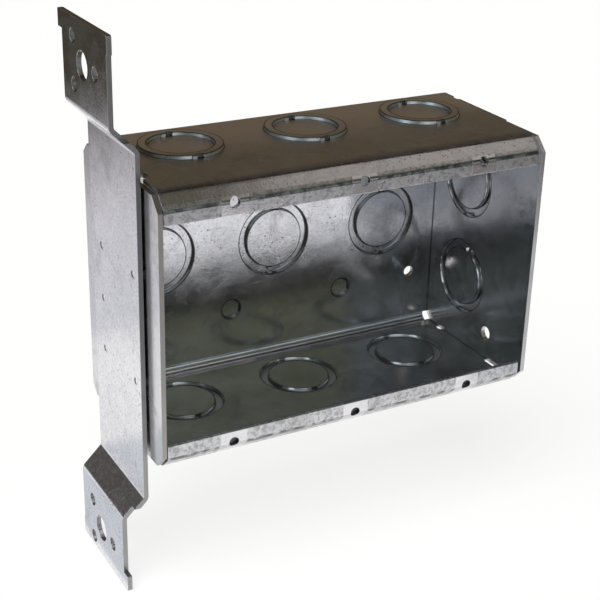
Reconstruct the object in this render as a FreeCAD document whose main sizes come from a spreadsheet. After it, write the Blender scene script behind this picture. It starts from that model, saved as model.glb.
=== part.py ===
import FreeCAD, Part
import os
import re

import Sketcher

# A welded steel switch box for a row of devices, with a bracket for the side of a stud.
# Millimetres. X runs along the row, Y from the open front into the wall, Z up.
# The origin is the middle of the device screws, on the front plane of the lips.

SIZES = [
    ("gang_count", 3, "devices in the row"),
    ("gang_pitch", 46.04, "from one device to the next"),
    ("screw_height", 83.34, "between a device's two screws"),
    ("screw_hole", 3.5, "device screw hole, diameter"),
    ("end_margin", 0.78, "from an outer device's half pitch to the end plate"),
    ("sheet", 1.6, "steel of the box"),
    ("wall_over_screw", 5.955, "from a device screw to the outside of the wall beyond it"),
    ("lip_under_screw", 3.97, "from a device screw to its lip's free edge"),
    ("box_depth", 63.5, "from the lips to the outside of the back"),
    ("corner_cut", 5.2, "depth and height of the sloped strip behind each lip"),
    ("lip_bend", 1.0, "inner radius between each lip and its slope"),
    ("wall_bend", 4.0, "inner radius between each slope and its wall"),
    ("rear_bend", 3.2, "inner radius of the two rear bends"),
    ("lip_gap_left", 0.3, "between the lips and the left end plate"),
    ("lip_gap_right", 1.3, "between the lips and the right end plate"),
    ("left_notch_radius", 3.6, "round notches in the walls' left ends"),
    ("left_notch_depth", 3.1, "how far they reach along the box"),
    ("right_notch_radius", 2.0, "round notches in the walls' right ends"),
    ("right_notch_depth", 1.4, "how far they reach along the box"),
    ("notch_front", 19.0, "front notch, from the lips"),
    ("notch_rear_inset", 11.9, "rear notch, from the outside of the back"),
    ("relief_width", 2.0, "slit at the end of each rear bend, along the box"),
    ("relief_depth", 3.6, "the same slit, along the depth"),
    ("relief_height", 4.6, "the same slit, along the height"),
    ("knockout_outer", 28.2, "larger knockout, diameter"),
    ("knockout_inner", 22.2, "smaller knockout inside it, diameter"),
    ("knockout_lift", 1.3, "how far the ring is pushed out of its wall"),
    ("knockout_inset", 22.9, "knockouts' distance from the outside of the back"),
    ("end_knockout_rise", 19.35, "end plate's knockouts above and below the middle"),
    ("tie_width", 1.6, "bridge that holds a knockout"),
    ("tie_proud", 0.5, "how far a bridge stands past the edge it joins"),
    ("slot_width", 2.4, "slot beside each bridge"),
    ("slot_offset", 0.7, "middle of the slots, from the middle of the knockout"),
    ("slot_reach", 1.0, "how far a slot cuts into the ring"),
    ("slug_size", 7.5, "small pressed round in the back, diameter"),
    ("slug_lift", 0.8, "how far it is pushed out"),
    ("slug_left", 17.3, "left one, from the middle"),
    ("slug_right", 29.0, "right one, from the middle"),
    ("slug_drop", 25.2, "both, below the middle"),
    ("back_hole", 4.0, "nail hole in the back, diameter"),
    ("back_hole_inset", 10.0, "nail hole, from the end of the back"),
    ("back_hole_drop", 23.9, "nail hole, below the middle"),
    ("plate_step", 1.2, "end plate's edge inside the wall's outer face"),
    ("plate_rear_cut", 3.4, "end plate's cut rear corners"),
    ("plate_hole", 5.2, "round hole in the right end plate, diameter"),
    ("plate_hole_row", 22.4, "that hole, from the lips"),
    ("plate_hole_rise", 11.7, "that hole, above the outside of the bottom wall"),
    ("bracket_sheet", 1.6, "steel of the bracket"),
    ("bracket_gap", 0.56, "between bracket and end plate, bridged by the welds"),
    ("bracket_width", 39.7, "the strip, front to rear"),
    ("bracket_set_back", 11.35, "the strip's front edge, from the lips"),
    ("bracket_bend", 1.5, "inner radius of its bends"),
    ("joggle", 7.1, "offset of the ears from the strip"),
    ("strip_over_top", 9.7, "flat strip past the top wall"),
    ("strip_under_bottom", 14.4, "flat strip past the bottom wall"),
    ("upper_reach", 35.6, "from the end of the flat strip to the end of the upper ear"),
    ("lower_reach", 34.5, "from the end of the flat strip to the end of the lower ear"),
    ("ear_inset", 2.2, "ears' front edge, behind the strip's front edge"),
    ("tip_height", 5.8, "widened end of each ear"),
    ("tip_wide", 3.3, "widening on one side"),
    ("tip_narrow", 0.6, "widening on the other side"),
    ("tip_round", 0.8, "rounding of its corners"),
    ("ear_hole", 9.3, "large hole in each ear, diameter"),
    ("ear_hole_offset", 3.0, "large holes, behind the middle of the strip"),
    ("upper_hole_inset", 13.8, "upper ear's large hole, from the ear's end"),
    ("lower_hole_inset", 11.2, "lower ear's large hole, from the ear's end"),
    ("nail_hole", 4.7, "small holes round the large one, diameter"),
    ("nail_reach", 10.8, "from the large hole to the front small one"),
    ("nail_diagonal", 7.6, "rear small holes, from the large one each way"),
    ("weld_point", 2.8, "weld between bracket and end plate, across"),
    ("weld_front_inset", 4.0, "front column of welds, from the strip's front edge"),
    ("weld_rear_inset", 9.0, "rear column of welds, from the strip's rear edge"),
    ("weld_pitch", 18.7, "between the rows of welds"),
    ("weld_drop", 1.7, "middle row, below the middle"),
]

ALIASES = [alias for alias, size, meaning in SIZES]

WRAP_END = "((gang_count * gang_pitch) / 2 + end_margin)"
TOP = "(screw_height / 2 + wall_over_screw)"
LIP_TOP = f"({TOP} - corner_cut)"
LIP_EDGE = "(screw_height / 2 - lip_under_screw)"
NOTCH_REAR = "(box_depth - notch_rear_inset)"
KNOCKOUT_ROW = "(box_depth - knockout_inset)"
PLATE_FACE = f"({WRAP_END} + sheet)"
STRIP_INNER = f"({PLATE_FACE} + bracket_gap)"
STRIP_OUTER = f"({STRIP_INNER} + bracket_sheet)"
BEND_SHIFT = "(bracket_sheet * (sqrt(2) - 1))"
STRIP_FRONT = "bracket_set_back"
STRIP_REAR = "(bracket_set_back + bracket_width)"
STRIP_MIDDLE = "(bracket_set_back + bracket_width / 2)"
EAR_FRONT = "(bracket_set_back + ear_inset)"
STRIP_TOP = f"({TOP} + strip_over_top)"
STRIP_BOTTOM = f"(-{TOP} - strip_under_bottom)"
EAR_TOP = f"({STRIP_TOP} + upper_reach)"
EAR_BOTTOM = f"({STRIP_BOTTOM} - lower_reach)"

document = FreeCAD.newDocument("switch_box")
sheet = document.addObject("Spreadsheet::Sheet", "Sizes")


def fill_sheet():
    """Write each driving size in its own cell, under its own name."""
    for row, (alias, size, meaning) in enumerate(SIZES, start=1):
        sheet.set(f"A{row}", alias)
        sheet.set(f"B{row}", str(size))
        sheet.setAlias(f"B{row}", alias)
        sheet.set(f"C{row}", meaning)
    document.recompute()


def linked(text):
    """Return the expression with each size name pointing at its cell."""
    def cell(word):
        name = word.group()
        return f"Sizes.{name}" if name in ALIASES else name
    return re.sub(r"[a-z_]+", cell, text)


def value(text):
    """Work an expression out once, as a starting position or a count."""
    return float(sheet.evalExpression(linked(text)))


def new_body(label):
    body = document.addObject("PartDesign::Body", label)
    body.Label = label
    return body


def origin_feature(body, role):
    return next(item for item in body.Origin.OriginFeatures if item.Role == role)


def new_sketch(body, name, plane, offset="0"):
    """Attach a sketch to an origin plane, moved along that plane's normal."""
    sketch = body.newObject("Sketcher::SketchObject", name)
    sketch.AttachmentSupport = [(origin_feature(body, plane), "")]
    sketch.MapMode = "FlatFace"
    sketch.setExpression("AttachmentOffset.Base.z", linked(offset))
    return sketch


def pin(sketch, geometry, point, x, y):
    """Hold one point of the sketch at two expressions from its origin."""
    for kind, text in (("DistanceX", x), ("DistanceY", y)):
        index = sketch.addConstraint(
            Sketcher.Constraint(kind, -1, 1, geometry, point, value(text)))
        sketch.setExpression(f"Constraints[{index}]", linked(text))


def add_outline(sketch, corners):
    """Draw a closed outline through corners given as pairs of expressions."""
    spots = [FreeCAD.Vector(value(x), value(y), 0) for x, y in corners]
    lines = []
    for start, end in zip(spots, spots[1:] + spots[:1]):
        lines.append(sketch.addGeometry(Part.LineSegment(start, end), False))
    for line, after in zip(lines, lines[1:] + lines[:1]):
        sketch.addConstraint(Sketcher.Constraint("Coincident", line, 2, after, 1))
    for line, (x, y) in zip(lines, corners):
        pin(sketch, line, 1, x, y)


def add_rectangle(sketch, left, right, low, high):
    add_outline(sketch, [(left, low), (right, low), (right, high), (left, high)])


def add_circle(sketch, x, y, diameter):
    centre = FreeCAD.Vector(value(x), value(y), 0)
    shape = Part.Circle(centre, FreeCAD.Vector(0, 0, 1), value(diameter) / 2)
    circle = sketch.addGeometry(shape, False)
    pin(sketch, circle, 3, x, y)
    index = sketch.addConstraint(Sketcher.Constraint("Diameter", circle, value(diameter)))
    sketch.setExpression(f"Constraints[{index}]", linked(diameter))


def pad(body, sketch, length, backwards=False, both_ways=False):
    feature = body.newObject("PartDesign::Pad", f"{sketch.Name}_pad")
    feature.Profile = sketch
    feature.SideType = "Symmetric" if both_ways else "One side"
    feature.setExpression("Length", linked(length))
    feature.Reversed = backwards
    document.recompute()
    return feature


def pocket(body, sketch, length=None, forwards=False, both_ways=False):
    """Cut the sketch to a depth against its normal, or through everything."""
    feature = body.newObject("PartDesign::Pocket", f"{sketch.Name}_pocket")
    feature.Profile = sketch
    feature.SideType = "Symmetric" if both_ways else "One side"
    feature.Reversed = forwards
    if length is None:
        feature.Type = "ThroughAll"
    else:
        feature.setExpression("Length", linked(length))
    document.recompute()
    return feature


def mirror(body, name, features, plane):
    feature = body.newObject("PartDesign::Mirrored", name)
    feature.Originals = features
    feature.MirrorPlane = (origin_feature(body, plane), [""])
    body.Tip = feature
    document.recompute()
    return feature


def straight_edges(shape, axis, spots):
    """Name the straight edges along an axis that pass through the given spots."""
    others = [name for name in ("x", "y", "z") if name != axis]
    names = []
    for number, edge in enumerate(shape.Edges, start=1):
        start, end = edge.Vertexes[0].Point, edge.Vertexes[-1].Point
        along = all(abs(getattr(start, n) - getattr(end, n)) < 1e-6 for n in others)
        here = [getattr(start, n) for n in others]
        if along and any(abs(here[0] - a) < 1e-4 and abs(here[1] - b) < 1e-4 for a, b in spots):
            names.append(f"Edge{number}")
    return names


def round_edges(body, name, axis, corners, radius):
    """Fillet the edges along an axis whose corners are given as pairs of expressions."""
    base = body.Tip
    spots = [(value(a), value(b)) for a, b in corners]
    feature = body.newObject("PartDesign::Fillet", name)
    feature.Base = (base, straight_edges(base.Shape, axis, spots))
    feature.setExpression("Radius", linked(radius))
    document.recompute()
    return feature


def device_columns():
    """The X of every device's screws, knockouts and middle line."""
    count = int(value("gang_count"))
    return [f"(({2 * index + 1} - gang_count) / 2 * gang_pitch)" for index in range(count)]


def concentric_knockouts(body, name, plane, face, centres, side, inner_tie):
    """Push a ring out of a wall round each centre, held by a bridge at each of its edges.

    The wall's outer face lies at an offset along the plane's normal, and side is +1 where
    outwards is along that normal. The disc inside the ring stays flush with its wall. The
    outer edge's bridge is at the low end of the ring, and the inner edge's where inner_tie says.
    """
    sign, against = ("+", "-") if side > 0 else ("-", "+")
    rings = new_sketch(body, f"{name}_rings", plane, face)
    grooves = new_sketch(body, f"{name}_grooves", plane, f"{face} {against} sheet")
    for x, y in centres:
        for sketch in (rings, grooves):
            add_circle(sketch, x, y, "knockout_outer")
            add_circle(sketch, x, y, "knockout_inner")
    raised = pad(body, rings, "knockout_lift", backwards=side < 0)
    hollow = pocket(body, grooves, "knockout_lift", forwards=side > 0)

    bridges = new_sketch(body, f"{name}_bridges", plane, f"{face} {against} sheet")
    slots = new_sketch(body, f"{name}_slots", plane, f"{face} {sign} knockout_lift")
    out, into = ("+", "-") if inner_tie == "-" else ("-", "+")
    for x, y in centres:
        left = f"{x} + slot_offset - slot_width / 2"
        right = f"{x} + slot_offset + slot_width / 2"
        outer_edge = (f"{y} - knockout_outer / 2 - tie_proud",
                      f"{y} - knockout_outer / 2 + slot_reach")
        inner_edge = sorted((f"{y} {inner_tie} knockout_inner / 2 {out} tie_proud",
                             f"{y} {inner_tie} knockout_inner / 2 {into} slot_reach"), key=value)
        for low, high in (outer_edge, inner_edge):
            add_rectangle(bridges, f"{left} - tie_width", left, low, high)
            add_rectangle(slots, left, right, low, high)
    tied = pad(body, bridges, "sheet + knockout_lift", backwards=side < 0)
    slotted = pocket(body, slots, "knockout_lift", forwards=side < 0)
    return [raised, hollow, tied, slotted]


def fold_sheet(body):
    """Lip, slope, top, back, bottom, slope and lip as one folded strip, ends open."""
    section = new_sketch(body, "section", "YZ_Plane")
    add_outline(section, [
        ("0", LIP_TOP), ("corner_cut", TOP), ("box_depth", TOP),
        ("box_depth", f"-{TOP}"), ("corner_cut", f"-{TOP}"), ("0", f"-{LIP_TOP}"),
    ])
    pad(body, section, f"2 * {WRAP_END}", both_ways=True)
    round_edges(body, "rear_bends", "x",
                [("box_depth", TOP), ("box_depth", f"-{TOP}")], "rear_bend + sheet")
    round_edges(body, "wall_bends", "x",
                [("corner_cut", TOP), ("corner_cut", f"-{TOP}")], "wall_bend + sheet")
    round_edges(body, "lip_bends", "x", [("0", LIP_TOP), ("0", f"-{LIP_TOP}")], "lip_bend + sheet")

    base = body.Tip
    end = value(WRAP_END)
    open_ends = [f"Face{number}" for number, face in enumerate(base.Shape.Faces, start=1)
                 if abs(abs(face.CenterOfMass.x) - end) < 1e-4]
    shell = body.newObject("PartDesign::Thickness", "steel")
    shell.Base = (base, open_ends)
    shell.Reversed = True
    shell.setExpression("Value", linked("sheet"))
    document.recompute()

    opening = new_sketch(body, "opening", "XZ_Plane")
    add_rectangle(opening, f"-{PLATE_FACE}", PLATE_FACE, f"-{LIP_EDGE}", LIP_EDGE)
    pocket(body, opening, "2 * sheet")


def trim_ends(body):
    """Clear the lips from the end plates, and notch and relieve the walls' ends."""
    trims = new_sketch(body, "lip_ends", "XY_Plane")
    add_rectangle(trims, f"{WRAP_END} - lip_gap_right", PLATE_FACE, "-sheet", "notch_front")
    add_rectangle(trims, f"-{PLATE_FACE}", f"lip_gap_left - {WRAP_END}", "-sheet", "notch_front")
    pocket(body, trims, both_ways=True)

    notches = new_sketch(body, "notches", "XY_Plane")
    for end, side in (("left", "-"), ("right", "")):
        centre = f"{side}({WRAP_END} + {end}_notch_radius - {end}_notch_depth)"
        for row in ("notch_front", NOTCH_REAR):
            add_circle(notches, centre, row, f"2 * {end}_notch_radius")
    pocket(body, notches, both_ways=True)

    reliefs = new_sketch(body, "bend_reliefs", "YZ_Plane", WRAP_END)
    for low, high in ((f"{TOP} - relief_height", f"{TOP} + sheet"),
                      (f"-{TOP} - sheet", f"relief_height - {TOP}")):
        add_rectangle(reliefs, "box_depth - relief_depth", "box_depth + sheet", low, high)
    relieved = pocket(body, reliefs, "relief_width")
    mirror(body, "left_bend_reliefs", [relieved], "YZ_Plane")


def drill_lips(body):
    """One screw hole in each lip for every device."""
    holes = new_sketch(body, "device_screws", "XZ_Plane")
    first = device_columns()[0]
    for side in ("", "-"):
        add_circle(holes, first, f"{side}screw_height / 2", "screw_hole")
    drilled = pocket(body, holes, "sheet + corner_cut")
    row = body.newObject("PartDesign::LinearPattern", "device_screw_row")
    row.Originals = [drilled]
    row.Direction = (origin_feature(body, "X_Axis"), [""])
    row.Mode = "Spacing"
    row.setExpression("Offset", linked("gang_pitch"))
    row.setExpression("Occurrences", linked("gang_count"))
    body.Tip = row
    document.recompute()


def pierce_back(body):
    """A nail hole through the back, and two small rounds pressed half out of it."""
    hole = new_sketch(body, "back_nail_hole", "XZ_Plane", "2 * sheet - box_depth")
    add_circle(hole, f"{WRAP_END} - back_hole_inset", "-back_hole_drop", "back_hole")
    pocket(body, hole, "3 * sheet")

    slugs = new_sketch(body, "slugs", "XZ_Plane", "-box_depth")
    hollows = new_sketch(body, "slug_hollows", "XZ_Plane", "sheet - box_depth")
    for sketch in (slugs, hollows):
        for x in ("-slug_left", "slug_right"):
            add_circle(sketch, x, "-slug_drop", "slug_size")
    pad(body, slugs, "slug_lift", backwards=True)
    pocket(body, hollows, "slug_lift")


def build_wrap():
    body = new_body("wrap")
    fold_sheet(body)
    trim_ends(body)
    drill_lips(body)
    pierce_back(body)
    columns = device_columns()
    top_row = [(x, KNOCKOUT_ROW) for x in columns]
    top = concentric_knockouts(body, "top", "XY_Plane", TOP, top_row, 1, "+")
    mirror(body, "bottom_knockouts", top, "XY_Plane")
    back_row = [(x, "0") for x in columns]
    concentric_knockouts(body, "back", "XZ_Plane", "-box_depth", back_row, -1, "-")
    return body


def plate_outline(sketch):
    """Front corners follow the wrap's slopes, rear corners are cut short of its bends."""
    edge = f"({TOP} - plate_step)"
    cut = "(corner_cut - plate_step * (sqrt(2) - 1))"
    front = f"({edge} - {cut})"
    rear = "(box_depth - plate_step)"
    upper = [
        ("0", front), (cut, edge), (f"{rear} - plate_rear_cut", edge),
        (rear, f"{edge} - plate_rear_cut"),
    ]
    lower = [(y, f"-({z})") for y, z in reversed(upper)]
    add_outline(sketch, upper + lower)


def build_right_end_plate():
    body = new_body("right_end_plate")
    outline = new_sketch(body, "right_outline", "YZ_Plane", WRAP_END)
    plate_outline(outline)
    pad(body, outline, "sheet")
    hole = new_sketch(body, "right_hole", "YZ_Plane", PLATE_FACE)
    add_circle(hole, "plate_hole_row", f"plate_hole_rise - {TOP}", "plate_hole")
    pocket(body, hole, "2 * sheet")
    pair = [(KNOCKOUT_ROW, "end_knockout_rise"), (KNOCKOUT_ROW, "-end_knockout_rise")]
    concentric_knockouts(body, "right", "YZ_Plane", PLATE_FACE, pair, 1, "+")
    return body


def build_left_end_plate():
    body = new_body("left_end_plate")
    outline = new_sketch(body, "left_outline", "YZ_Plane", f"-{WRAP_END}")
    plate_outline(outline)
    pad(body, outline, "sheet", backwards=True)
    return body


def fold_bracket(body):
    """A flat strip whose two ends step outwards at 45 degrees into flat ears."""
    profile = new_sketch(body, "bracket_profile", "XZ_Plane", f"-{STRIP_MIDDLE}")
    outer, inner = f"-{STRIP_OUTER}", f"-{STRIP_INNER}"
    outer_bends = [
        (f"{outer} - joggle", f"{STRIP_BOTTOM} - joggle"),
        (outer, STRIP_BOTTOM),
        (outer, STRIP_TOP),
        (f"{outer} - joggle", f"{STRIP_TOP} + joggle"),
    ]
    inner_bends = [
        (f"{inner} - joggle", f"{STRIP_TOP} + joggle + {BEND_SHIFT}"),
        (inner, f"{STRIP_TOP} + {BEND_SHIFT}"),
        (inner, f"{STRIP_BOTTOM} - {BEND_SHIFT}"),
        (f"{inner} - joggle", f"{STRIP_BOTTOM} - joggle - {BEND_SHIFT}"),
    ]
    lower_end = [(f"{inner} - joggle", EAR_BOTTOM), (f"{outer} - joggle", EAR_BOTTOM)]
    upper_end = [(f"{outer} - joggle", EAR_TOP), (f"{inner} - joggle", EAR_TOP)]
    add_outline(profile, lower_end + outer_bends + upper_end + inner_bends)
    pad(body, profile, "bracket_width", both_ways=True)
    hollow_side = outer_bends[1:3] + [inner_bends[0], inner_bends[3]]
    full_side = [outer_bends[0], outer_bends[3]] + inner_bends[1:3]
    round_edges(body, "hollow_bends", "y", hollow_side, "bracket_bend")
    round_edges(body, "full_bends", "y", full_side, "bracket_bend + bracket_sheet")


def narrow_ears(body):
    """Set both ears' front edges back, from the middle of each step outwards."""
    trims = new_sketch(body, "ear_fronts", "YZ_Plane")
    for start, end in ((f"{STRIP_TOP} + joggle / 2", f"{EAR_TOP} + tip_height"),
                       (f"{EAR_BOTTOM} - tip_height", f"{STRIP_BOTTOM} - joggle / 2")):
        add_rectangle(trims, f"{STRIP_FRONT} - tip_wide", EAR_FRONT, start, end)
    pocket(body, trims)


def widen_tips(body):
    """Each ear ends in a wider tip, wide to the rear above and to the front below."""
    tips = new_sketch(body, "ear_tips", "YZ_Plane", f"-{STRIP_OUTER} - joggle")
    upper = (f"{EAR_FRONT} - tip_narrow", f"{STRIP_REAR} + tip_wide")
    lower = (f"{EAR_FRONT} - tip_wide", f"{STRIP_REAR} + tip_narrow")
    add_rectangle(tips, *upper, f"{EAR_TOP} - tip_height", EAR_TOP)
    add_rectangle(tips, *lower, EAR_BOTTOM, f"{EAR_BOTTOM} + tip_height")
    pad(body, tips, "bracket_sheet")
    corners = [(edge, EAR_TOP) for edge in upper] + [(edge, EAR_BOTTOM) for edge in lower]
    round_edges(body, "tip_corners", "x", corners, "tip_round")


def drill_ears(body):
    """A large hole in each ear, with one small hole before it and two behind it."""
    holes = new_sketch(body, "ear_holes", "YZ_Plane")
    row = f"({STRIP_MIDDLE} + ear_hole_offset)"
    for height in (f"({EAR_TOP} - upper_hole_inset)", f"({EAR_BOTTOM} + lower_hole_inset)"):
        add_circle(holes, row, height, "ear_hole")
        add_circle(holes, f"{row} - nail_reach", height, "nail_hole")
        for side in ("+", "-"):
            add_circle(holes, f"{row} + nail_diagonal", f"{height} {side} nail_diagonal", "nail_hole")
    pocket(body, holes)


def add_welds(body):
    """Five welds, drawn as small square blocks, on which the strip bears on the end plate."""
    welds = new_sketch(body, "welds", "YZ_Plane", f"-{STRIP_INNER}")
    front, rear = f"{STRIP_FRONT} + weld_front_inset", f"{STRIP_REAR} - weld_rear_inset"
    high, low = "weld_pitch - weld_drop", "-weld_pitch - weld_drop"
    for y, z in ((front, high), (front, low), (rear, high), (rear, "-weld_drop"), (rear, low)):
        add_rectangle(welds, f"{y} - weld_point / 2", f"{y} + weld_point / 2",
                      f"{z} - weld_point / 2", f"{z} + weld_point / 2")
    pad(body, welds, "bracket_gap")


def build_side_bracket():
    body = new_body("side_bracket")
    fold_bracket(body)
    narrow_ears(body)
    widen_tips(body)
    drill_ears(body)
    add_welds(body)
    return body


def check(bodies):
    """Stop if anything failed, or if a pad added or a pocket removed nothing."""
    for item in document.Objects:
        if "Invalid" in item.State or "Error" in item.State:
            raise RuntimeError(f"{item.Label}: {item.State}")
    for body in bodies:
        for feature in body.Group:
            base = getattr(feature, "BaseFeature", None)
            if base is None:
                continue
            gain = feature.Shape.Volume - base.Shape.Volume
            if feature.TypeId == "PartDesign::Pad" and gain < 1e-3:
                raise RuntimeError(f"{feature.Label} adds nothing")
            if feature.TypeId == "PartDesign::Pocket" and gain > -1e-3:
                raise RuntimeError(f"{feature.Label} cuts nothing")
        shape = body.Shape
        if shape.isNull() or not shape.isValid() or len(shape.Solids) != 1:
            raise RuntimeError(f"{body.Label} is not one valid solid")


def main():
    fill_sheet()
    bodies = [build_wrap(), build_left_end_plate(), build_right_end_plate(), build_side_bracket()]
    document.recompute()
    check(bodies)
    os.makedirs("parts", exist_ok=True)
    for body in bodies:
        body.Shape.exportStep(os.path.join("parts", f"{body.Label}.step"))
        print(body.Label, round(body.Shape.Volume, 1))


main()
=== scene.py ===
from math import cos, radians, sin

import bpy
from mathutils import Matrix, Vector

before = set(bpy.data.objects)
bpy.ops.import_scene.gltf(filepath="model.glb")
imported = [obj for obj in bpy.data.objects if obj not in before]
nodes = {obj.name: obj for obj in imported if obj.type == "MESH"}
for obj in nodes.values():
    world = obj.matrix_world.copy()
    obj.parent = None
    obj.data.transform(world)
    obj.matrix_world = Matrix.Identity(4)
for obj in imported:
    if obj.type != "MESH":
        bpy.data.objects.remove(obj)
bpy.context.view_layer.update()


def colour(red, green, blue):
    return (red, green, blue, 1.0)


# All lengths are metres in the part's own frame: X along the row, Y to the back, Z up.
FLOOR = -0.0966
TOP_FACE = 0.047625
BACK_FACE = 0.0635
PLATE_FACE = 0.07144
SEAM = 0.0692  # the wrap is in shadow from here to the right end plate
DEVICE_COLUMNS = (-0.04604, 0.0, 0.04604)

KNOCKOUT_ROW = 0.0406
WALL_KNOCKOUTS = [(column, KNOCKOUT_ROW) for column in DEVICE_COLUMNS]
BACK_KNOCKOUTS = [(column, 0.0) for column in DEVICE_COLUMNS]
END_KNOCKOUTS = [(KNOCKOUT_ROW, 0.01935), (KNOCKOUT_ROW, -0.01935)]
KNOCKOUT_RADII = (0.0111, 0.0141)
RING_MIDDLE = sum(KNOCKOUT_RADII) / 2
RING_HALF = 0.0021
RAISED = 0.0013
LEAN = 0.41  # how far the drawn walls' normals tip, as a share of their length
SLOT_OFFSET = 0.0006
SLOT_HALF = 0.0012
SLUGS = [(-0.0173, -0.0252), (0.0290, -0.0252)]
SLUG_RADIUS = 0.00375

# The lips: heights above or below the middle, depths behind the front plane.
LIP_FADES_IN = 0.0374
LIP_STARTS = 0.0376
UPPER_LIP_DEPTH = 0.0012
LOWER_LIP_DEPTH = 0.0054
UPPER_BEND = 0.0420
LOWER_BEND = 0.0429
LOWER_BEND_DEPTH = 0.009
LOWER_LIP_INSIDE = (0.0022, 0.0008)
LOWER_LIP_FACE = (0.0408, 0.0031)
LOWER_SCREWS = [(column, -0.04167) for column in DEVICE_COLUMNS]
SCREW_RADIUS = 0.00175
SCREW_DEPTH = 0.0017
SCREW_PAD = 0.0046

WELDS = [(0.01535, 0.0170), (0.01535, -0.0204),
         (0.04205, 0.0170), (0.04205, -0.0017), (0.04205, -0.0204)]
WELD_RADIUS = 0.0018

BOX_BRIGHT = colour(0.73, 0.73, 0.75)
BOX_DULL = colour(0.50, 0.50, 0.51)
STAIN = colour(0.30, 0.275, 0.26)
PIT = colour(0.12, 0.115, 0.12)
SCRAPED = colour(0.22, 0.21, 0.205)
LIGHTENED_TONE = colour(1.0, 0.97, 0.99)
# DARK paints the dark marks, which are mostly painted shade.
DARK = colour(0.03, 0.03, 0.028)
WHITE = colour(1.0, 1.0, 1.0)
EDGE_ROUNDING = 0.0003

WINDOW = colour(0.66, 0.76, 0.83)
NIGHT = colour(0.01, 0.012, 0.008)
SIDE_WINDOW_DISTANCE = 1.5
SIDE_WINDOW_HEIGHT = 0.58
SIDE_WINDOWS = [  # degrees to the left of straight ahead, tone
    (58, colour(0.9, 1.1, 1.2)),
    (82, colour(1.3, 1.6, 1.75)),
    (106, colour(1.5, 1.8, 2.0)),
    (130, colour(0.8, 0.95, 1.05)),
]
ON_THE_FLOOR = FLOOR + 0.0004
OVERHEAD = 0.95
AIM = (0.0, 0.03, 0.0)

# The camera that was fitted to the photograph.
EYE = (-0.21648, -0.34834, 0.18462)
EYE_FORWARD = (0.44295, 0.79671, -0.41115)
EYE_UP = (0.17691, 0.3719, 0.91126)
EYE_LENS = 81.72

# Sockets of a mix node that is set to colours.
MIX_FIRST, MIX_SECOND, MIX_RESULT = 6, 7, 2


class Tree:
    """A node tree with short ways to add the nodes that the finishes are made of."""

    def __init__(self, owner):
        owner.use_nodes = True
        self.nodes = owner.node_tree.nodes
        self.links = owner.node_tree.links
        self.nodes.clear()

    def add(self, kind, inputs=None, **settings):
        node = self.nodes.new(kind)
        for name, setting in settings.items():
            setattr(node, name, setting)
        for name, given in (inputs or {}).items():
            self.put(node.inputs[name], given)
        return node

    def put(self, socket, given):
        """Link a socket to another one, or set it to a constant."""
        if isinstance(given, bpy.types.NodeSocket):
            self.links.new(given, socket)
        else:
            socket.default_value = given

    def math(self, operation, first, second=0.0, third=0.0):
        node = self.add("ShaderNodeMath", {0: first, 1: second, 2: third}, operation=operation)
        return node.outputs[0]

    def steps(self, given, low, high, to_low=0.0, to_high=1.0):
        """Run smoothly from to_low at low to to_high at high."""
        inputs = {
            "Value": given, "From Min": low, "From Max": high,
            "To Min": to_low, "To Max": to_high,
        }
        node = self.add("ShaderNodeMapRange", inputs, interpolation_type="SMOOTHSTEP")
        return node.outputs["Result"]

    def noise(self, where, scale, detail=3.0, roughness=0.5, distortion=0.0):
        inputs = {
            "Vector": where, "Scale": scale, "Detail": detail,
            "Roughness": roughness, "Distortion": distortion,
        }
        return self.add("ShaderNodeTexNoise", inputs).outputs["Fac"]

    def blend(self, factor, first, second):
        """The first colour where the factor is zero, the second where it is one."""
        node = self.add("ShaderNodeMix", {"Factor": factor}, data_type="RGBA")
        self.put(node.inputs[MIX_FIRST], first)
        self.put(node.inputs[MIX_SECOND], second)
        return node.outputs[MIX_RESULT]

    def vector(self, x=0.0, y=0.0, z=0.0):
        return self.add("ShaderNodeCombineXYZ", {0: x, 1: y, 2: z}).outputs[0]

    def product(self, first, *others):
        for other in others:
            first = self.math("MULTIPLY", first, other)
        return first

    def most(self, first, *others):
        for other in others:
            first = self.math("MAXIMUM", first, other)
        return first

    def without(self, given):
        """One where given is zero, zero where it is one."""
        return self.math("SUBTRACT", 1.0, given)

    def band(self, given, middle, half, fade):
        """One within half of middle, none further than half and fade from it."""
        away = self.math("ABSOLUTE", self.math("SUBTRACT", given, middle))
        return self.steps(away, half, half + fade, 1.0, 0.0)

    def nearest(self, across, along, spots):
        """How far the nearest of the spots is, measured in one plane."""
        closest = None
        for first, second in spots:
            offset = self.vector(
                self.math("SUBTRACT", across, first), self.math("SUBTRACT", along, second)
            )
            length = self.add("ShaderNodeVectorMath", {0: offset}, operation="LENGTH")
            away = length.outputs["Value"]
            closest = away if closest is None else self.math("MINIMUM", closest, away)
        return closest


class Spot:
    """Where a point of the surface is and which way it faces, in the part's own frame."""

    def __init__(self, tree):
        coordinates = tree.add("ShaderNodeTexCoord")
        self.where = coordinates.outputs["Object"]
        self.x, self.y, self.z = tree.add("ShaderNodeSeparateXYZ", {0: self.where}).outputs
        ahead = tree.add(
            "ShaderNodeVectorMath", {0: coordinates.outputs["Normal"]}, operation="ABSOLUTE"
        )
        facing = tree.add("ShaderNodeSeparateXYZ", {0: ahead.outputs[0]})
        self.faces_x, self.faces_y, self.faces_z = (
            tree.steps(part, 0.8, 0.95) for part in facing.outputs
        )


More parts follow.
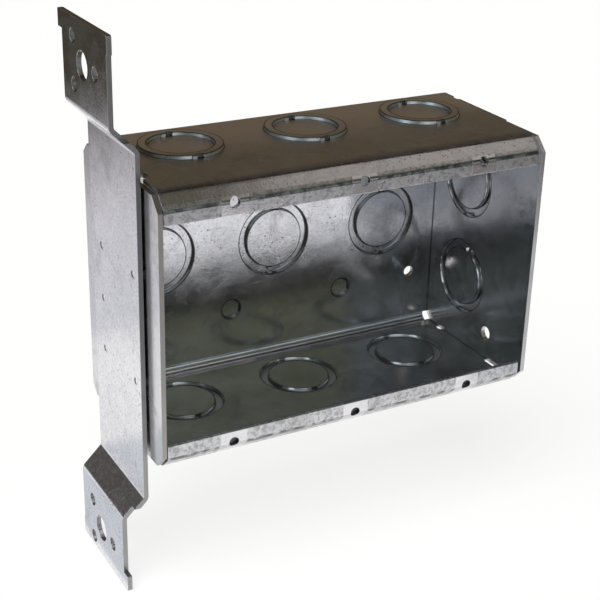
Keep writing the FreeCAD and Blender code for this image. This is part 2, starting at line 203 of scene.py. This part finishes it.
def knockout_marks(tree, across, along, centres, facing, depth):
    """Marks of the knockouts in one wall, and the lean of their drawn walls.

    Dark lines run round each knockout where its walls meet the face, partly its shear cut and
    partly painted shade in the crease; painted shade darkens its upper rim and its slots.
    Depth is measured outwards from the outer face of the wall that the knockouts are in.
    The lean is positive on walls raised on the outside, negative in the recess inside.
    """
    away = tree.nearest(across, along, centres)
    # Dark lines where the drawn walls meet the face: partly the shear cut, partly painted shade in
    # the crease.
    lines = tree.most(*[tree.band(away, radius, 0.00018, 0.0003) for radius in KNOCKOUT_RADII])
    beside = tree.band(away, RING_MIDDLE, RING_HALF, 0.0002)
    upright = tree.product(beside, tree.without(facing))
    rim = tree.band(depth, RAISED, 0.00010, 0.00022)
    slots = tree.most(*[
        tree.band(across, centre[0] + SLOT_OFFSET, SLOT_HALF, 0.0001) for centre in centres
    ])
    # Painted shade on the upper rim of the drawn walls and in their slots.
    shade = tree.product(upright, tree.most(rim, tree.product(slots, 0.9)))
    side = tree.steps(depth, -0.0003, -0.0001, -LEAN, LEAN)
    return tree.most(tree.product(facing, lines), shade), tree.product(upright, side)


def lip_zones(tree, spot, below, height):
    """Rough stretches of the lips, and the flat pads round their screw holes."""
    reach = tree.math(
        "MULTIPLY_ADD", below, LOWER_LIP_DEPTH - UPPER_LIP_DEPTH, UPPER_LIP_DEPTH
    )
    lip = tree.product(
        tree.math("LESS_THAN", spot.y, reach), tree.steps(height, LIP_FADES_IN, LIP_STARTS)
    )
    pads = tree.most(*[tree.band(spot.x, column, SCREW_PAD, 0.0004) for column in DEVICE_COLUMNS])
    return tree.product(lip, tree.without(pads)), tree.product(lip, pads)


def lip_lines(tree, spot, patches, below, height):
    """Painted shade: a dark line along each lip's bend, a dark band behind the lower lip's face and
    dark walls in the lower screw holes.

    The lines are broken in places and fainter at the screws.
    """
    broken = tree.steps(tree.noise(spot.where, 190.0, 2.0), 0.44, 0.56)
    broken = tree.product(patches, broken)
    # Painted shade in the crease of the upper lip's bend.
    upper = tree.product(
        tree.without(below), tree.math("LESS_THAN", spot.y, UPPER_LIP_DEPTH),
        tree.band(height, UPPER_BEND, 0.0004, 0.0003),
        tree.math("MULTIPLY_ADD", broken, 0.35, 0.55),
    )
    # Painted shade along the lower lip's bend.
    lower = tree.product(
        below, tree.math("LESS_THAN", spot.y, LOWER_BEND_DEPTH),
        tree.band(height, LOWER_BEND, 0.0007, 0.0005),
        tree.math("MULTIPLY_ADD", broken, 0.62, 0.24),
    )
    # Painted shade behind the lower lip's face.
    inside = tree.product(
        below, tree.band(spot.y, *LOWER_LIP_INSIDE, 0.0001),
        tree.band(height, *LOWER_LIP_FACE, 0.0004), 0.95,
    )
    # Painted shade on the walls of the lower screw holes.
    holes = tree.product(
        tree.band(tree.nearest(spot.x, spot.z, LOWER_SCREWS), SCREW_RADIUS, 0.0001, 0.0001),
        tree.without(spot.faces_y), tree.math("LESS_THAN", spot.y, SCREW_DEPTH),
    )
    return tree.most(upper, lower, inside, holes)


def wrap_marks(tree, spot):
    height = tree.math("ABSOLUTE", spot.z)
    in_walls, wall_lean = knockout_marks(
        tree, spot.x, spot.y, WALL_KNOCKOUTS, spot.faces_z,
        tree.math("SUBTRACT", height, TOP_FACE),
    )
    in_back, back_lean = knockout_marks(
        tree, spot.x, spot.z, BACK_KNOCKOUTS, spot.faces_y,
        tree.math("SUBTRACT", spot.y, BACK_FACE),
    )
    # Dark ring round each slug: partly its shear cut, partly painted shade in the crease.
    slugs = tree.product(
        spot.faces_y, tree.band(tree.nearest(spot.x, spot.z, SLUGS), SLUG_RADIUS, 0.0002, 0.0004)
    )
    # Painted shadow on the wrap where it meets the right end plate.
    seam_shadow = tree.steps(spot.x, SEAM, SEAM + 0.0005, 0.0, 0.75)
    below = tree.math("LESS_THAN", spot.z, 0.0)
    patches, pads = lip_zones(tree, spot, below, height)
    bend_and_hole_shade = lip_lines(tree, spot, patches, below, height)
    discs = tree.steps(
        tree.nearest(spot.x, spot.y, WALL_KNOCKOUTS), 0.0104, 0.0108, 0.9, 0.0
    )
    # Outer top and bottom faces lighter towards the back and on the knockout discs.
    lighter_to_back_and_discs = tree.product(
        spot.faces_z, tree.most(tree.steps(spot.y, 0.018, 0.052), discs),
        tree.steps(height, TOP_FACE - 0.0003, TOP_FACE - 0.0002),
    )
    return {
        # dark is mostly painted shade (rims, slots, seam, bends, holes); the lines round knockouts
        # and slugs are partly shear cuts.
        "dark": tree.most(in_walls, in_back, slugs, seam_shadow, bend_and_hole_shade),
        "raw": spot.faces_x,
        "satin": tree.steps(height, TOP_FACE - 0.001, TOP_FACE - 0.0005),
        "lightened": tree.most(tree.product(pads, 0.35), lighter_to_back_and_discs),
        "scuffed": patches,
        "lean": tree.vector(y=back_lean, z=tree.product(wall_lean, tree.math("SIGN", spot.z))),
    }


def right_plate_marks(tree, spot):
    away = tree.nearest(spot.y, spot.z, END_KNOCKOUTS)
    dark, lean = knockout_marks(
        tree, spot.y, spot.z, END_KNOCKOUTS, spot.faces_x,
        tree.math("SUBTRACT", spot.x, PLATE_FACE),
    )
    return {
        "dark": dark,
        "raw": tree.product(tree.steps(away, 0.0145, 0.0150), tree.without(spot.faces_x)),
        "lean": tree.vector(x=lean),
    }


def left_plate_marks(tree, spot):
    return {"raw": tree.without(spot.faces_x)}


def weld_spots(tree, spot, behind, above, full, gone):
    """Round marks at the welds, moved behind and above their middles."""
    away = tree.nearest(
        tree.math("SUBTRACT", spot.y, behind), tree.math("SUBTRACT", spot.z, above), WELDS
    )
    return tree.product(spot.faces_x, tree.steps(away, full, gone, 1.0, 0.0))


def bracket_marks(tree, spot):
    """A dimple at each weld with a painted shade spot and a painted highlight spot beside it, and
    speckled slopes.
    """
    # Painted shade on one side of each weld dimple.
    dimple_shade = weld_spots(tree, spot, 0.0007, 0.0, 0.0009, 0.0014)
    # Painted highlight on the other side of each weld dimple.
    glint_and_speckle = weld_spots(tree, spot, -0.0004, 0.0003, 0.0007, 0.0011)
    slanted = tree.product(
        tree.without(spot.faces_x), tree.without(spot.faces_y), tree.without(spot.faces_z)
    )
    speckle = tree.steps(tree.noise(spot.where, 620.0, 3.0, 0.7), 0.48, 0.64)
    return {
        # Painted shade of the weld dimples, kept off their painted highlight.
        "dark": tree.product(dimple_shade, tree.without(glint_and_speckle)),
        "raw": tree.most(spot.faces_y, spot.faces_z),
        # Painted highlight at the welds, and speckle on the slopes.
        "glint_and_speckle": tree.most(glint_and_speckle, tree.product(slanted, speckle, 0.8)),
        "pressed": weld_spots(tree, spot, 0.0, 0.0, 0.0, WELD_RADIUS),
    }


def spangle(tree, where):
    """Zinc crystals: flat patches a few millimetres wide, each a little different."""
    warp = tree.add("ShaderNodeTexNoise", {"Vector": where, "Scale": 260.0, "Detail": 2.0})
    bent = tree.add(
        "ShaderNodeVectorMath", {0: warp.outputs["Color"], "Scale": 0.0022}, operation="SCALE"
    )
    place = tree.add("ShaderNodeVectorMath", {0: where, 1: bent.outputs[0]}, operation="ADD")
    cells = tree.add("ShaderNodeTexVoronoi", {"Vector": place.outputs[0], "Scale": 210.0})
    return tree.add("ShaderNodeSeparateColor", {"Color": cells.outputs["Color"]})


def zinc(tree, spot, bright, dull, sheen, grain):
    """Colour, roughness and height of the coating before anything has marked it."""
    crystals = spangle(tree, spot.where)
    cloud = tree.noise(spot.where, 38.0, 4.0, 0.6)
    fine = tree.noise(spot.where, 1300.0, 3.0, 0.6)
    worn = tree.steps(tree.noise(spot.where, 60.0, 2.0), 0.38, 0.60)
    pits = tree.steps(tree.noise(spot.where, 1000.0, 2.0), 0.62, 0.72)
    pits = tree.product(pits, worn)
    stain = tree.steps(tree.noise(spot.where, 75.0, 5.0, 0.65, 0.6), 0.52, 0.72)

    tone = tree.math("MULTIPLY_ADD", crystals.outputs["Red"], 0.20, -0.10)
    tone = tree.math("MULTIPLY_ADD", tree.math("SUBTRACT", cloud, 0.5), 1.2, tone)
    tone = tree.math("MULTIPLY_ADD", tree.math("SUBTRACT", fine, 0.5), grain, tone)
    base = tree.blend(tree.math("ADD", tone, 0.62), dull, bright)
    base = tree.blend(tree.product(stain, 0.36), base, STAIN)
    base = tree.blend(tree.product(pits, 0.5), base, PIT)

    rough = tree.math("MULTIPLY_ADD", crystals.outputs["Green"], 0.06, sheen)
    rough = tree.math("MULTIPLY_ADD", cloud, 0.08, rough)
    rough = tree.math("MULTIPLY_ADD", stain, 0.08, rough)

    heights = tree.math("MULTIPLY_ADD", fine, 0.6, tree.product(pits, -0.9))
    heights = tree.math("MULTIPLY_ADD", crystals.outputs["Blue"], 0.25, heights)
    return base, rough, heights


def marked(tree, spot, found, raw, base, rough, heights):
    """Lay wear and lightening, raw steel, painted highlights with speckle, and dark marks that are
    mostly painted shade over the coating, in this order.
    """
    if "satin" in found:
        rough = tree.math("MULTIPLY_ADD", found["satin"], 0.215, rough)
    if "scuffed" in found:
        mottle = tree.steps(tree.noise(spot.where, 560.0, 3.0, 0.6, 0.8), 0.46, 0.60)
        scraped = tree.product(found["scuffed"], mottle)
        base = tree.blend(tree.product(scraped, 0.50), base, SCRAPED)
        # Lighten the flat pads and the back of the outer top and bottom faces.
        base = tree.blend(tree.product(found["lightened"], 0.9), base, LIGHTENED_TONE)
        rough = tree.math("MULTIPLY_ADD", found["scuffed"], 0.125, rough)
        heights = tree.math("MULTIPLY_ADD", found["scuffed"], -1.6, heights)
        heights = tree.math("MULTIPLY_ADD", scraped, -0.7, heights)
    base = tree.blend(found["raw"], base, raw)
    rough = tree.math("MULTIPLY_ADD", found["raw"], 0.14, rough)
    # Painted highlights at the welds, and speckle on the bracket's slopes.
    if "glint_and_speckle" in found:
        base = tree.blend(found["glint_and_speckle"], base, WHITE)
    # The dark marks are mostly painted shade.
    if "dark" in found:
        base = tree.blend(tree.product(found["dark"], 0.9), base, DARK)
    return base, rough, heights


def relief(tree, spot, found, heights):
    """The normal: rounded edges, leaning drawn walls, fine relief and the sheet's waves."""
    normal = tree.add("ShaderNodeBevel", {"Radius": EDGE_ROUNDING}, samples=4).outputs[0]
    if "lean" in found:
        tilted = tree.add("ShaderNodeVectorMath", {0: normal, 1: found["lean"]}, operation="ADD")
        whole = tree.add("ShaderNodeVectorMath", {0: tilted.outputs[0]}, operation="NORMALIZE")
        normal = whole.outputs[0]
    bump = tree.add(
        "ShaderNodeBump",
        {"Strength": 0.5, "Distance": 0.00006, "Height": heights, "Normal": normal},
    )
    waves = tree.noise(spot.where, 45.0, 2.0, 0.5)
    if "pressed" in found:
        waves = tree.math("MULTIPLY_ADD", found["pressed"], -1.6, waves)
    wavy = tree.add(
        "ShaderNodeBump",
        {"Strength": 0.35, "Distance": 0.0006, "Height": waves, "Normal": bump.outputs[0]},
    )
    return wavy.outputs[0]


def galvanised(name, marks, bright, dull, raw, sheen, grain):
    """Zinc-coated sheet steel with spangle, rolling grain, pits, marks and worn edges; many of the
    marks are painted shade and painted highlights.
    """
    material = bpy.data.materials.new(name)
    tree = Tree(material)
    spot = Spot(tree)
    found = marks(tree, spot)
    coating = zinc(tree, spot, bright, dull, sheen, grain)
    base, rough, heights = marked(tree, spot, found, raw, *coating)
    normal = relief(tree, spot, found, heights)
    shader = tree.add(
        "ShaderNodeBsdfPrincipled",
        {"Base Color": base, "Metallic": 1.0, "Roughness": rough, "Normal": normal},
    )
    tree.add("ShaderNodeOutputMaterial", {"Surface": shader.outputs[0]})
    return material


def facing(target, source):
    return (Vector(target) - Vector(source)).to_track_quat("-Z", "Y")


def flat_piece(name, width, height, material):
    """A rectangle in its own XY plane, kept out of the list of the object's pieces."""
    x, y = width / 2, height / 2
    mesh = bpy.data.meshes.new(name)
    mesh.from_pydata([(-x, -y, 0), (x, -y, 0), (x, y, 0), (-x, y, 0)], [], [(0, 1, 2, 3)])
    mesh.materials.append(material)
    piece = bpy.data.objects.new(name, mesh)
    bpy.context.scene.collection.objects.link(piece)
    return piece


def only_in_reflections(piece):
    piece.visible_camera = False
    piece.visible_diffuse = False
    piece.visible_shadow = False


def glow(name, near, far):
    """A tone that runs from near to far along the card's own Y."""
    material = bpy.data.materials.new(name)
    tree = Tree(material)
    place = tree.add("ShaderNodeTexCoord").outputs["Generated"]
    along = tree.add("ShaderNodeSeparateXYZ", {0: place}).outputs["Y"]
    light = tree.add("ShaderNodeEmission", {"Color": tree.blend(along, near, far), "Strength": 1.0})
    tree.add("ShaderNodeOutputMaterial", {"Surface": light.outputs[0]})
    return material


def card(name, width, height, place, tint, top_tint=None):
    """A card facing the object that only the metal's reflections see."""
    piece = flat_piece(name, width, height, glow(name, tint, top_tint or tint))
    piece.location = place
    piece.rotation_mode = "QUATERNION"
    piece.rotation_quaternion = facing(AIM, place)
    only_in_reflections(piece)


def lying_card(name, left, right, front, back, tint, far_tint=None, height=ON_THE_FLOOR):
    """A level card, on the floor or overhead, seen only in reflections."""
    piece = flat_piece(name, right - left, back - front, glow(name, tint, far_tint or tint))
    piece.location = ((left + right) / 2, (front + back) / 2, height)
    only_in_reflections(piece)


def softbox(name, place, width, height, watts, tint):
    lamp = bpy.data.lights.new(name, "AREA")
    lamp.shape = "RECTANGLE"
    lamp.size = width
    lamp.size_y = height
    lamp.energy = watts
    lamp.color = tint
    light = bpy.data.objects.new(name, lamp)
    bpy.context.scene.collection.objects.link(light)
    light.location = place
    light.rotation_mode = "QUATERNION"
    light.rotation_quaternion = facing(AIM, place)


def make_world():
    """White behind everything for the camera, a dim room in the metal's reflections."""
    world = bpy.data.worlds.new("studio")
    bpy.context.scene.world = world
    tree = Tree(world)
    ahead = tree.add("ShaderNodeTexCoord").outputs["Generated"]
    depth = tree.add("ShaderNodeSeparateXYZ", {0: ahead}).outputs["Y"]
    room = tree.blend(
        tree.steps(depth, -0.4, 0.4), colour(0.110, 0.122, 0.082), colour(0.140, 0.106, 0.068)
    )
    seen = tree.add("ShaderNodeLightPath").outputs["Is Camera Ray"]
    tint = tree.blend(seen, room, WHITE)
    background = tree.add("ShaderNodeBackground", {"Color": tint, "Strength": 1.0})
    tree.add("ShaderNodeOutputWorld", {"Surface": background.outputs[0]})


def white_paper():
    """White to the eye and in the metal, with a light shadow under the object."""
    material = bpy.data.materials.new("white_paper")
    tree = Tree(material)
    path = tree.add("ShaderNodeLightPath")
    seen = tree.most(path.outputs["Is Camera Ray"], path.outputs["Is Glossy Ray"])
    paper = tree.add("ShaderNodeBsdfDiffuse", {"Color": colour(0.97, 0.97, 0.97)})
    white = tree.add("ShaderNodeEmission", {"Color": WHITE, "Strength": 1.0})
    shader = tree.add(
        "ShaderNodeMixShader",
        {0: tree.product(seen, 0.82), 1: paper.outputs[0], 2: white.outputs[0]},
    )
    tree.add("ShaderNodeOutputMaterial", {"Surface": shader.outputs[0]})
    return material


def overhead_light():
    """The light on the paper; the metal shows the cards and the softbox instead."""
    lamp = bpy.data.lights.new("overhead_light", "SUN")
    lamp.energy = 3.3
    lamp.angle = radians(50.0)
    light = bpy.data.objects.new("overhead_light", lamp)
    light.visible_glossy = False
    bpy.context.scene.collection.objects.link(light)
    light.rotation_mode = "QUATERNION"
    light.rotation_quaternion = facing((0.0, 0.0, 0.0), (-0.45, -0.25, 0.86))


def make_camera():
    camera = bpy.data.cameras.new("camera")
    camera.sensor_width = 36.0
    camera.lens = EYE_LENS
    camera.clip_start = 0.01
    camera.clip_end = 50.0
    eye = bpy.data.objects.new("camera", camera)
    bpy.context.scene.collection.objects.link(eye)
    forward = Vector(EYE_FORWARD)
    right = forward.cross(Vector(EYE_UP)).normalized()
    turn = Matrix((right, right.cross(forward), -forward)).transposed().to_4x4()
    eye.matrix_world = Matrix.Translation(EYE) @ turn
    bpy.context.scene.camera = eye


def lay_table():
    """The floor, and the tones that the faces of the part mirror from it."""
    floor = flat_piece("floor", 8.0, 8.0, white_paper())
    floor.location = (0.0, 0.0, FLOOR)
    lying_card("table_front", -2.0, 0.26, -2.0, -0.30, colour(0.27, 0.26, 0.26))
    lying_card("table_front_right", 0.26, 2.0, -2.0, -0.30, colour(0.15, 0.14, 0.13))
    lying_card("table_right", 0.27, 2.0, -0.30, 0.0, colour(0.20, 0.19, 0.18))
    lying_card("table_corner", 0.13, 0.27, -0.30, -0.235, colour(0.25, 0.23, 0.22))
    lying_card("table_lip", 0.112, 0.27, -0.118, -0.05, colour(0.84, 0.86, 0.90))
    lying_card("table_dip", 0.02, 0.27, -0.143, -0.118, colour(0.08, 0.085, 0.09))
    lying_card("table_gleam", 0.03, 0.22, -0.235, -0.143, colour(1.15, 1.15, 1.19))
    lying_card("table_shade", -0.3, 0.02, -0.30, -0.14, colour(0.36, 0.39, 0.44))
    lying_card("table_ear", -0.4, -0.082, 0.0, 0.105, colour(0.70, 0.72, 0.76))
    lying_card("table_middle", -1.0, -0.082, 0.20, 0.36,
               colour(0.74, 0.74, 0.78), colour(0.72, 0.71, 0.73))
    lying_card("table_far", -1.5, -0.082, 0.36, 0.58,
               colour(0.72, 0.70, 0.72), colour(0.11, 0.105, 0.10))
    lying_card("table_back", -2.0, 2.0, 0.58, 2.0,
               colour(0.050, 0.043, 0.026), colour(0.016, 0.014, 0.010))


def hang_cards():
    """The windows and walls of the room in front of, beside, behind and above the part."""
    card("camera_side", 1.0, 0.14, (-0.75, -0.96, 0.575), colour(0.12, 0.13, 0.115), NIGHT)
    card("camera_top", 1.0, 0.34, (-0.75, -0.96, 0.81), NIGHT)
    card("low_fill", 0.55, 0.12, (0.59, -1.16, 0.565), colour(0.22, 0.225, 0.155))
    card("dark_back", 1.8, 0.36, (0.75, 1.25, 0.86), colour(0.05, 0.035, 0.02))
    card("window", 2.6, 0.25, (-0.12, -1.40, 0.23), WINDOW)
    card("window_top", 2.6, 0.16, (-0.12, -1.40, 0.43), WINDOW, colour(0.10, 0.115, 0.10))
    for turn, tint in SIDE_WINDOWS:
        left = -SIDE_WINDOW_DISTANCE * sin(radians(turn))
        ahead = -SIDE_WINDOW_DISTANCE * cos(radians(turn))
        card(f"side_window_{turn}", 0.64, 0.80, (left, ahead, SIDE_WINDOW_HEIGHT), tint)
    card("dark_right", 0.40, 0.40, (0.90, -0.96, 0.68), colour(0.015, 0.018, 0.012))
    card("left_wall", 0.7, 0.5, (-0.51, 0.68, 0.17), colour(0.092, 0.082, 0.074))
    lying_card("ceiling_left", -0.2, 0.42, -0.70, -0.06, colour(0.11, 0.101, 0.075),
               height=OVERHEAD)
    lying_card("ceiling", 0.42, 1.3, -0.70, -0.06, colour(0.45, 0.412, 0.385),
               height=OVERHEAD)
    lying_card("dark_ceiling", -0.15, 1.3, -0.06, 0.60, colour(0.02, 0.018, 0.015),
               height=OVERHEAD)


finishes = {
    "wrap": galvanised(
        "wrap_zinc", wrap_marks, BOX_BRIGHT, BOX_DULL,
        raw=colour(0.30, 0.29, 0.28), sheen=0.095, grain=1.0,
    ),
    "right_end_plate": galvanised(
        "right_plate_zinc", right_plate_marks, BOX_BRIGHT, BOX_DULL,
        raw=colour(0.62, 0.61, 0.60), sheen=0.09, grain=0.35,
    ),
    "left_end_plate": galvanised(
        "left_plate_zinc", left_plate_marks, BOX_BRIGHT, BOX_DULL,
        raw=colour(0.40, 0.38, 0.36), sheen=0.12, grain=0.35,
    ),
    "side_bracket": galvanised(
        "bracket_zinc", bracket_marks, colour(0.82, 0.82, 0.85), colour(0.58, 0.58, 0.61),
        raw=colour(0.34, 0.33, 0.33), sheen=0.13, grain=2.6,
    ),
}
for name, node in nodes.items():
    node.data.materials.clear()
    node.data.materials.append(finishes[name])

make_world()
make_camera()
lay_table()
hang_cards()
softbox("front_softbox", (-0.08, -0.80, 0.44), 0.46, 0.30, 0.50, (0.86, 0.94, 1.0))
overhead_light()

bpy.context.scene.view_settings.view_transform = "Standard"
